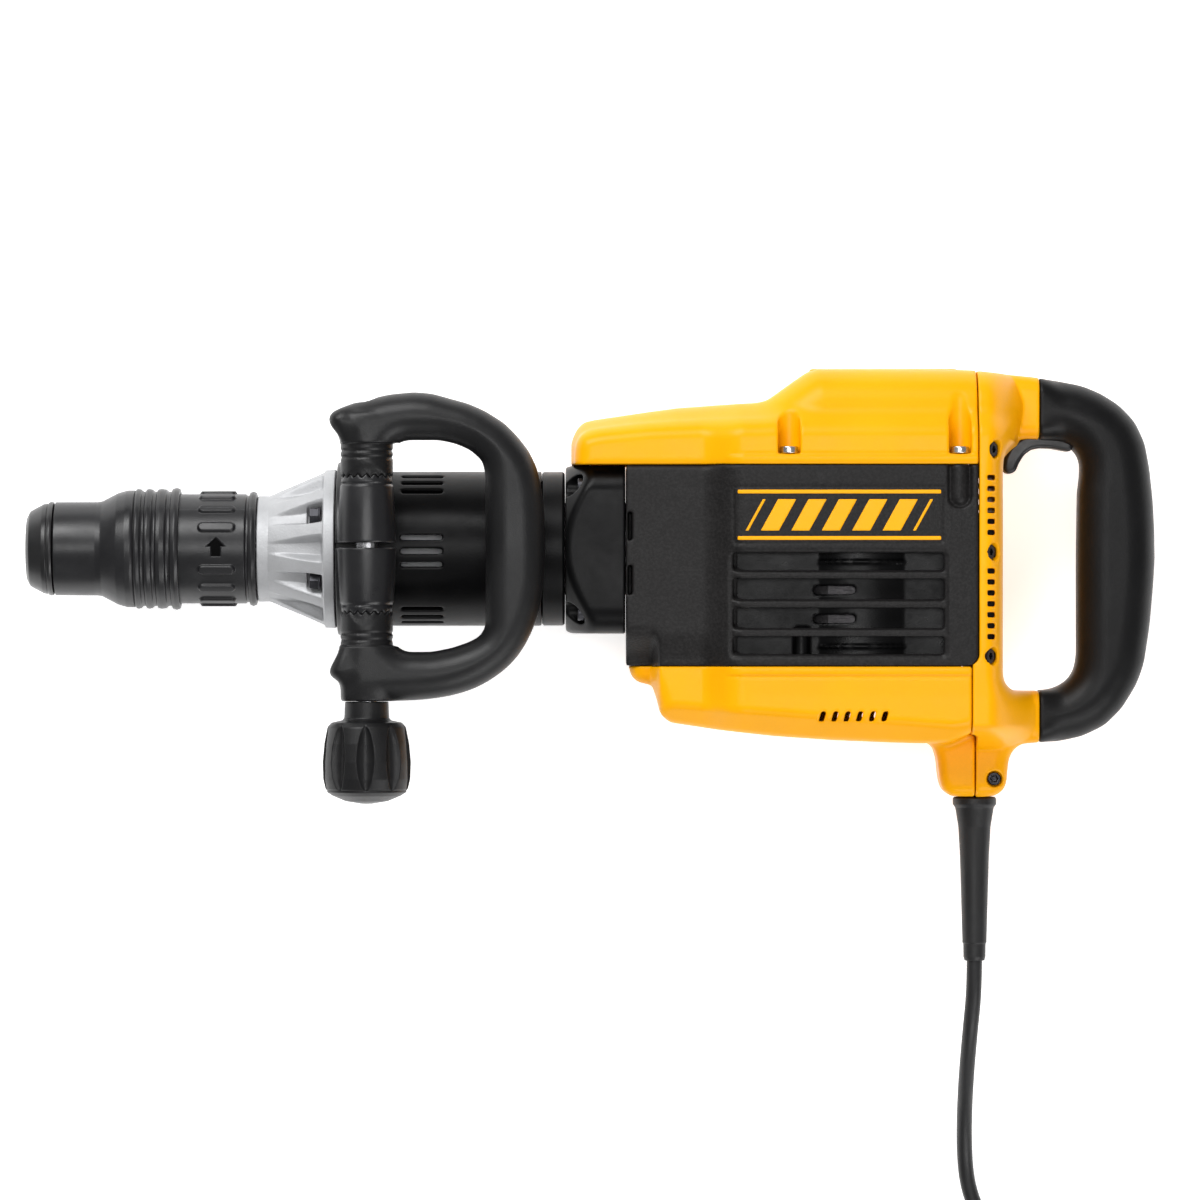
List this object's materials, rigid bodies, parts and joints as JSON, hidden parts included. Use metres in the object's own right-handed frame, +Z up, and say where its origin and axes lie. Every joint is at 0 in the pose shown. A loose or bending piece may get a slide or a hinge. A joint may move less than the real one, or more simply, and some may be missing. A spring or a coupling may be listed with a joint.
{
  "type": "demolition hammer",
  "caption": "Corded in-line demolition hammer with a chisel holder and lock sleeve, a pivoting loop handle on a barrel clamp, a yellow and black motor housing and a rear D grip.",
  "frame": {"origin": "middle of the underside of the tool as it lies on its right side, without the cord", "axes": "+X from the nose to the rear grip, +Y towards the top cover, +Z up out of the left side"},
  "size_m": [0.62, 0.6118, 0.1447],
  "materials": {
    "yellow_shell": "glossy moulded plastic with a fine eggshell texture",
    "black_shell": "matte moulded plastic with spark texture",
    "grip_rubber": "satin soft-touch rubber",
    "sleeve_black": "satin black",
    "cap_rubber": "satin rubber",
    "cord_rubber": "matte rubber",
    "nose_aluminium": "bead-blasted casting",
    "steel": "ground steel",
    "zinc_fastener": "zinc plated",
    "dark_steel": "black oxide steel",
    "gear_steel": "ground gear steel",
    "laminate": "stacked laminations",
    "copper": "carbon brush and copper",
    "switch_plastic": "matte"
  },
  "bodies": {
    "housing": {"nose_housing": "nose_aluminium", "nose_screw_1": "zinc_fastener", "nose_screw_2": "zinc_fastener", "nose_screw_3": "zinc_fastener", "nose_screw_4": "zinc_fastener", "cylinder": "steel", "stator": "laminate", "brush_1": "copper", "brush_2": "copper", "bearing_top": "steel", "bearing_bottom": "steel", "barrel_sleeve": "sleeve_black", "barrel_collar": "sleeve_black", "gearcase_front": "black_shell", "gearcase_screw_1": "zinc_fastener", "gearcase_screw_2": "zinc_fastener", "gearcase_screw_3": "zinc_fastener", "gearcase_screw_4": "zinc_fastener", "motor_housing": "black_shell", "cover_screw_1": "zinc_fastener", "cover_screw_2": "zinc_fastener", "cover_screw_3": "zinc_fastener", "cover_screw_4": "zinc_fastener", "top_cover": "yellow_shell", "bottom_cover": "yellow_shell", "rear_housing_left": "yellow_shell", "rear_housing_right": "yellow_shell", "rear_grip_left": "grip_rubber", "rear_grip_right": "grip_rubber", "rear_screw_1": "dark_steel", "rear_screw_2": "dark_steel", "rear_screw_3": "dark_steel", "boss_screw": "dark_steel", "switch_unit": "switch_plastic", "control_module": "switch_plastic", "strain_relief": "cord_rubber", "cord_tube": "cord_rubber", "cord_coil": "cord_rubber", "plug": "cord_rubber"},
    "chisel_holder": {"tool_holder": "steel", "dust_cap": "cap_rubber", "indexing_collar": "sleeve_black", "locking_roller_1": "steel", "locking_roller_2": "steel", "sleeve_spring": "steel"},
    "lock_sleeve": {"lock_sleeve": "sleeve_black"},
    "clamp": {"clamp_ring": "sleeve_black"},
    "loop": {"loop_handle": "grip_rubber", "clamp_bolt": "zinc_fastener"},
    "knob": {"clamp_knob": "grip_rubber"},
    "trigger": {"trigger": "black_shell"},
    "armature": {"armature": "laminate", "cooling_fan": "switch_plastic"},
    "intermediate": {"intermediate_gear": "gear_steel"},
    "crank": {"crank_gear": "gear_steel"},
    "rod": {"connecting_rod": "nose_aluminium"},
    "piston": {"piston": "nose_aluminium"},
    "ram": {"ram": "steel"},
    "beat": {"beat_piece": "steel"}
  },
  "joints": [
    {"name": "chisel_index", "type": "hinge", "parent": "housing", "child": "chisel_holder", "pos_m": [-0.2205, 0.0202, 0.059], "axis": [1, 0, 0], "continuous": true},
    {"name": "lock_sleeve_slide", "type": "slide", "parent": "chisel_holder", "child": "lock_sleeve", "axis": [1, 0, 0], "range_m": [0, 0.008], "stiffness_N_per_m": 1500, "springref_m": -0.006},
    {"name": "clamp_turn", "type": "hinge", "parent": "housing", "child": "clamp", "pos_m": [-0.1214, 0.0202, 0.059], "axis": [1, 0, 0], "continuous": true},
    {"name": "loop_swing", "type": "hinge", "parent": "clamp", "child": "loop", "pos_m": [-0.1214, 0.0202, 0.121], "axis": [0, -1, 0], "range_deg": [0, 180]},
    {"name": "knob_turn", "type": "hinge", "parent": "loop", "child": "knob", "pos_m": [-0.1214, -0.0898, 0.121], "axis": [0, 1, 0], "continuous": true},
    {"name": "trigger_pull", "type": "hinge", "parent": "housing", "child": "trigger", "pos_m": [0.2615, 0.0802, 0.059], "axis": [0, 0, -1], "range_deg": [0, 8], "stiffness_Nm_per_rad": 2.5, "springref_deg": -3.44},
    {"name": "armature_spin", "type": "hinge", "parent": "housing", "child": "armature", "pos_m": [0.14725, 0.0202, 0.059], "axis": [0, 1, 0], "continuous": true},
    {"name": "intermediate_spin", "type": "hinge", "parent": "housing", "child": "intermediate", "pos_m": [0.107, 0.0202, 0.059], "axis": [0, 1, 0], "continuous": true},
    {"name": "crank_spin", "type": "hinge", "parent": "housing", "child": "crank", "pos_m": [0.0615, 0.0202, 0.059], "axis": [0, 1, 0], "continuous": true},
    {"name": "rod_swing", "type": "hinge", "parent": "crank", "child": "rod", "pos_m": [0.0735, 0.0202, 0.059], "axis": [0, 1, 0], "continuous": true},
    {"name": "piston_slide", "type": "slide", "parent": "housing", "child": "piston", "axis": [-1, 0, 0], "range_m": [0, 0.024]},
    {"name": "ram_slide", "type": "slide", "parent": "housing", "child": "ram", "axis": [-1, 0, 0], "range_m": [0, 0.015]},
    {"name": "beat_slide", "type": "slide", "parent": "housing", "child": "beat", "axis": [-1, 0, 0], "range_m": [0, 0.006]}
  ],
  "couplings": [
    {"joint": "intermediate_spin", "follows": "armature_spin", "ratio": -0.27778},
    {"joint": "crank_spin", "follows": "armature_spin", "ratio": 0.083333},
    {"joint": "rod_swing", "follows": "armature_spin", "ratio": -0.083333}
  ]
}
